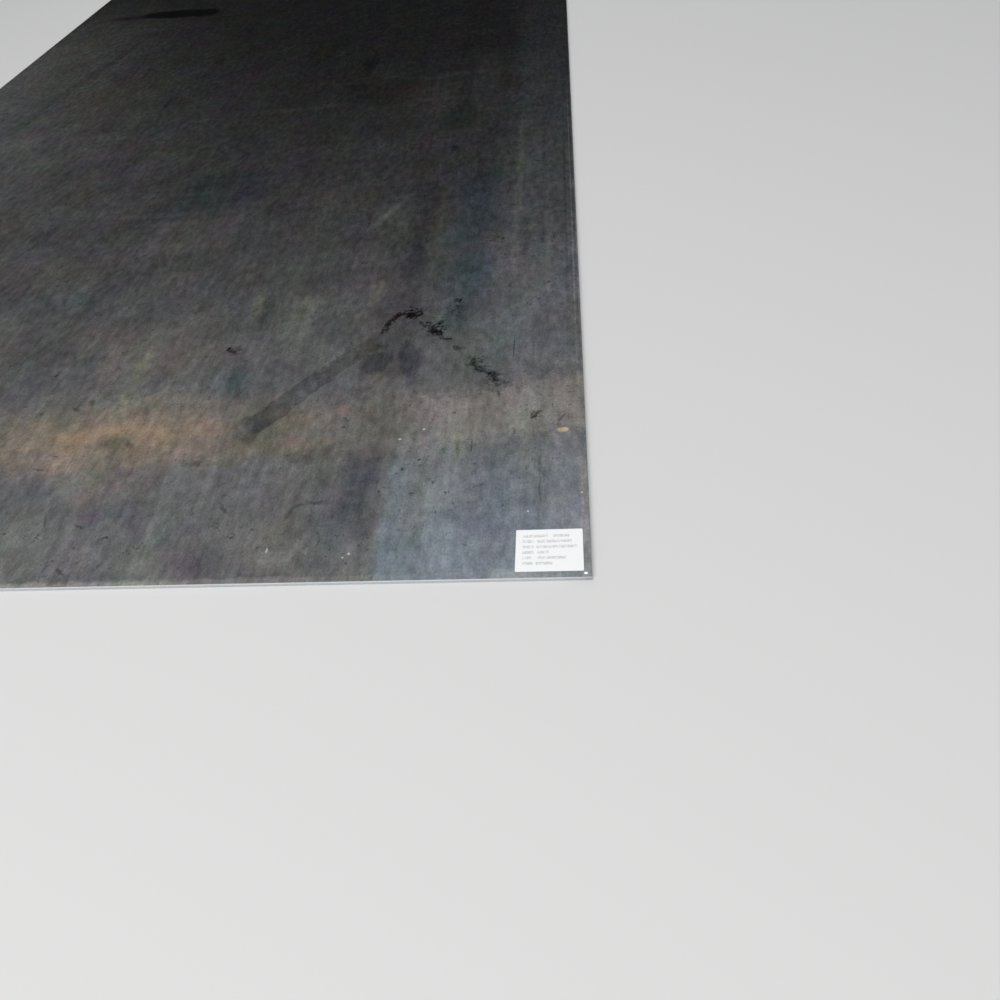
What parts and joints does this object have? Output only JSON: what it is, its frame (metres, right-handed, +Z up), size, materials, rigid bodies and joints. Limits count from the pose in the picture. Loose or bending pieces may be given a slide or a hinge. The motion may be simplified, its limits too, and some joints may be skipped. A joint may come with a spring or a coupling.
{
  "type": "steel plate",
  "caption": "Flat rectangular hot rolled steel plate with sheared edges and a paper label stuck near one corner of its top face.",
  "frame": {"origin": "middle of the plate's underside, which is the bottom centre of its box", "axes": "+X across the plate's width, +Y along its length away from the label, +Z up through its thickness"},
  "size_m": [2, 9.144, 0.0082],
  "materials": {
    "hot_rolled_steel": "dark grey-blue mill scale with brown rust haze, satin",
    "label_paper": "matt white adhesive paper"
  },
  "bodies": {
    "root": {"steel_plate": "hot_rolled_steel", "paper_label": "label_paper"}
  },
  "joints": []
}
